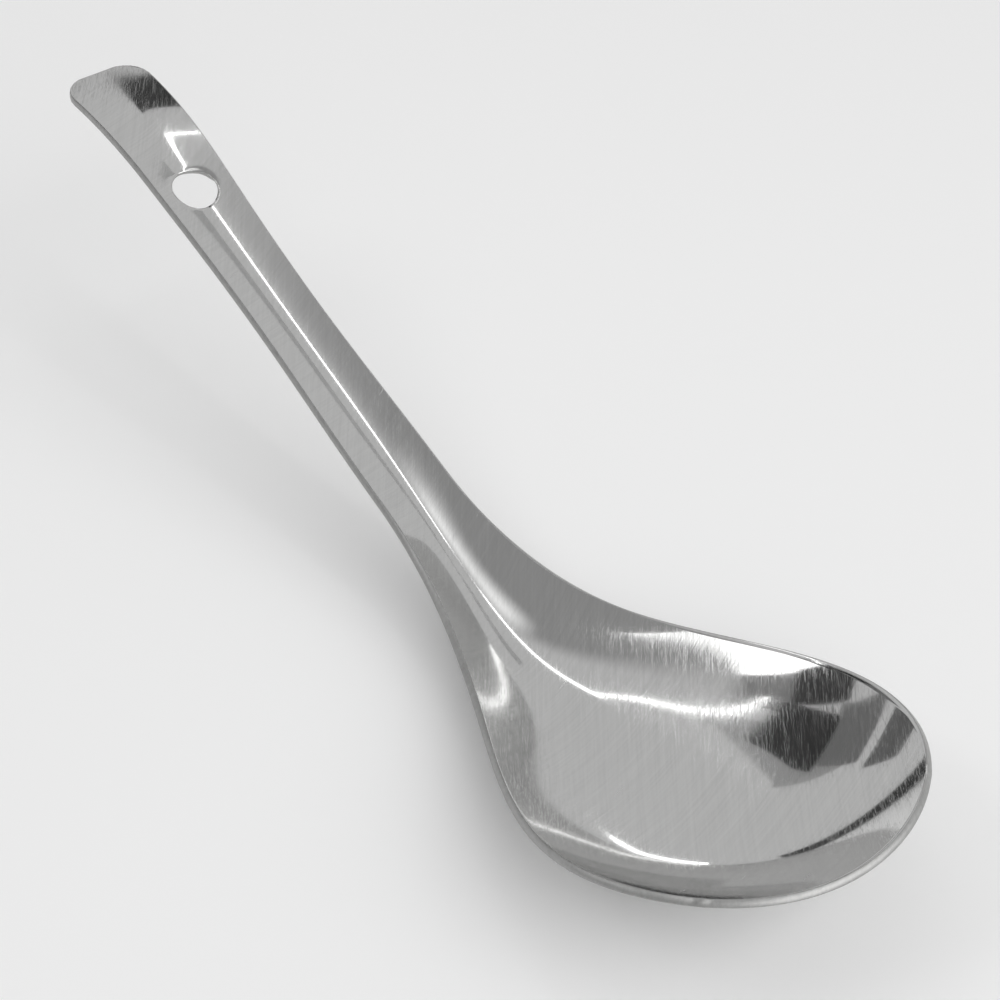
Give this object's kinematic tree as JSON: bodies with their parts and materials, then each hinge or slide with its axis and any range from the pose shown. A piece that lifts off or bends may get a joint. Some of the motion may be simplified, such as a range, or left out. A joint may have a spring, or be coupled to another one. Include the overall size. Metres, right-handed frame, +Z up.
{
  "type": "soup ladle",
  "caption": "One-piece pressed steel soup ladle with a wide shallow bowl, a trough-shaped handle and a round hanging hole.",
  "frame": {"origin": "on the table under the middle of the ladle's length, in its plane of symmetry, as it stands on its bowl", "axes": "+X to the tip of the bowl, +Y across, +Z up"},
  "size_m": [0.2354, 0.0738, 0.0514],
  "materials": {
    "steel": "polished stainless steel with fine buffing lines"
  },
  "bodies": {
    "root": {"ladle": "steel"}
  },
  "joints": []
}
